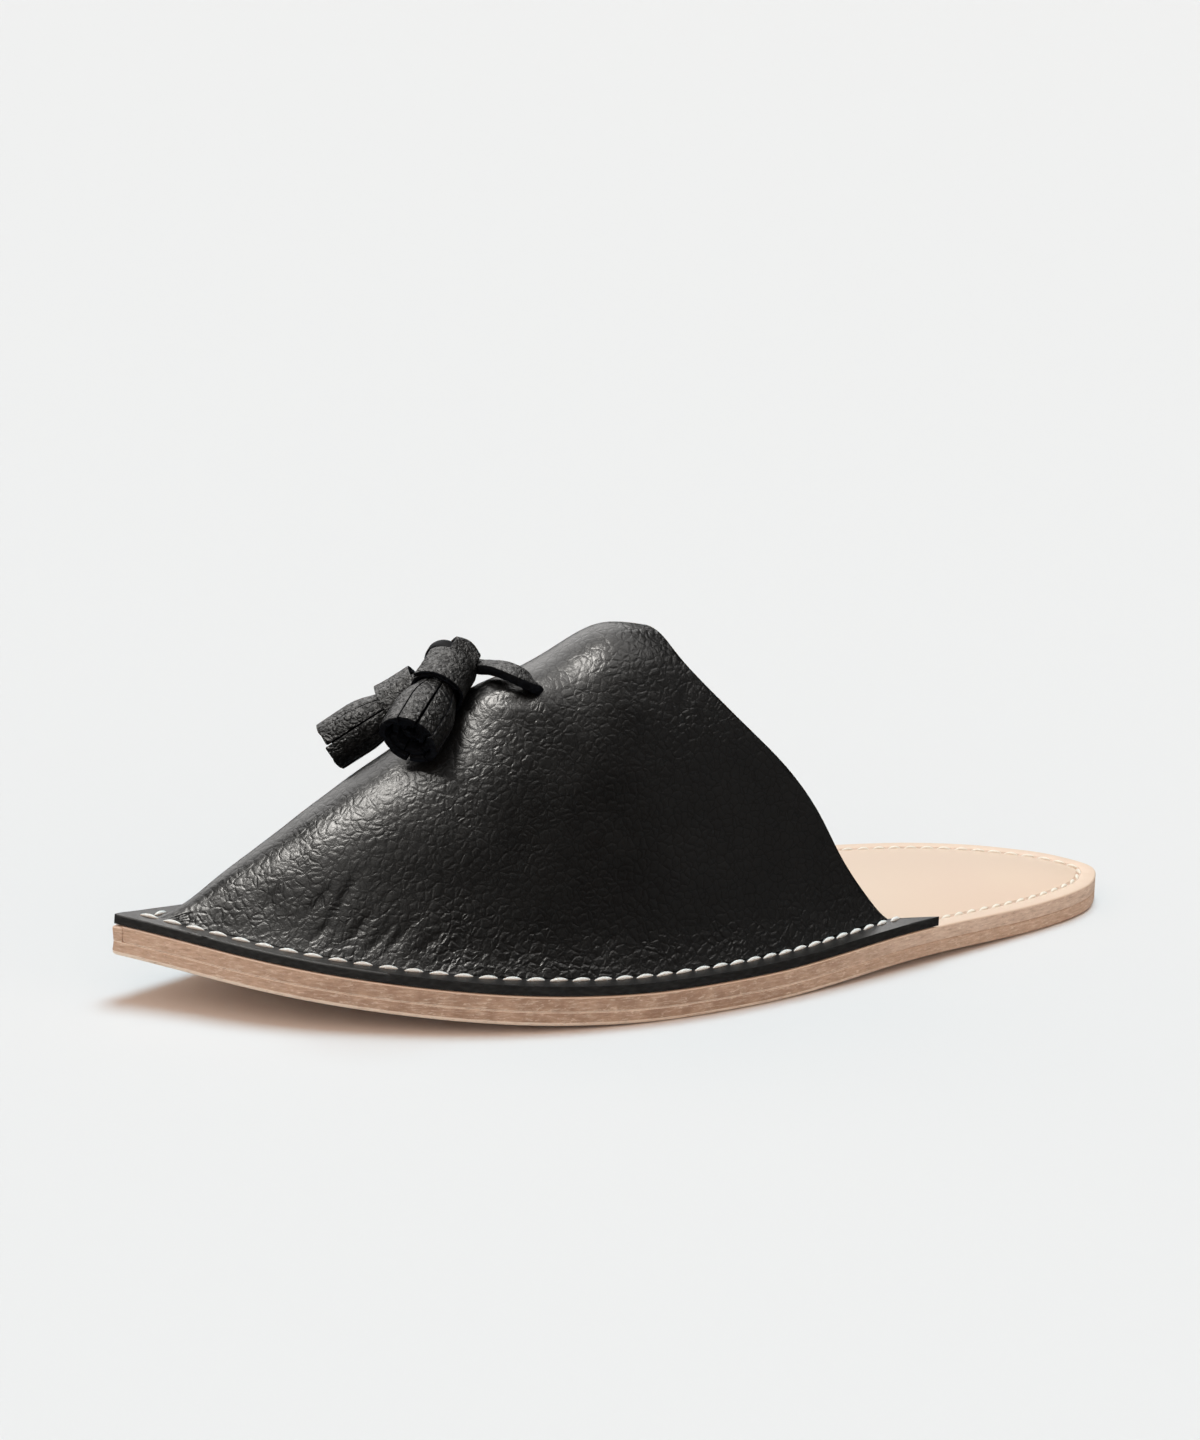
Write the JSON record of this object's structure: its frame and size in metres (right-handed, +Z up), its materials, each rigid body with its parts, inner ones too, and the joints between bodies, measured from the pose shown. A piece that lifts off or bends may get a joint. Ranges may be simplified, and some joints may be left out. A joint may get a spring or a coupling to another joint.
{
  "type": "leather slipper",
  "caption": "Backless leather slipper for the left foot, with a flanged grained vamp sewn on a flat leather sole and tassels hanging from a thong.",
  "frame": {"origin": "on the floor under the middle of the sole's bounding box", "axes": "+Z up, toe along -Y, the outer (lateral) side of the left foot along +X"},
  "size_m": [0.0972, 0.28, 0.0919],
  "materials": {
    "outsole_leather": "raw cut edge, matt",
    "insole_leather": "smooth natural, matt",
    "upper_leather": "black pebbled grain, semi-gloss",
    "tassel_leather": "black cut strips, semi-gloss"
  },
  "bodies": {
    "root": {"outsole": "outsole_leather", "insole": "insole_leather", "upper": "upper_leather", "tassel_lateral": "tassel_leather", "wrap_lateral": "tassel_leather", "tassel_medial": "tassel_leather", "wrap_medial": "tassel_leather", "thong": "tassel_leather"}
  },
  "joints": []
}
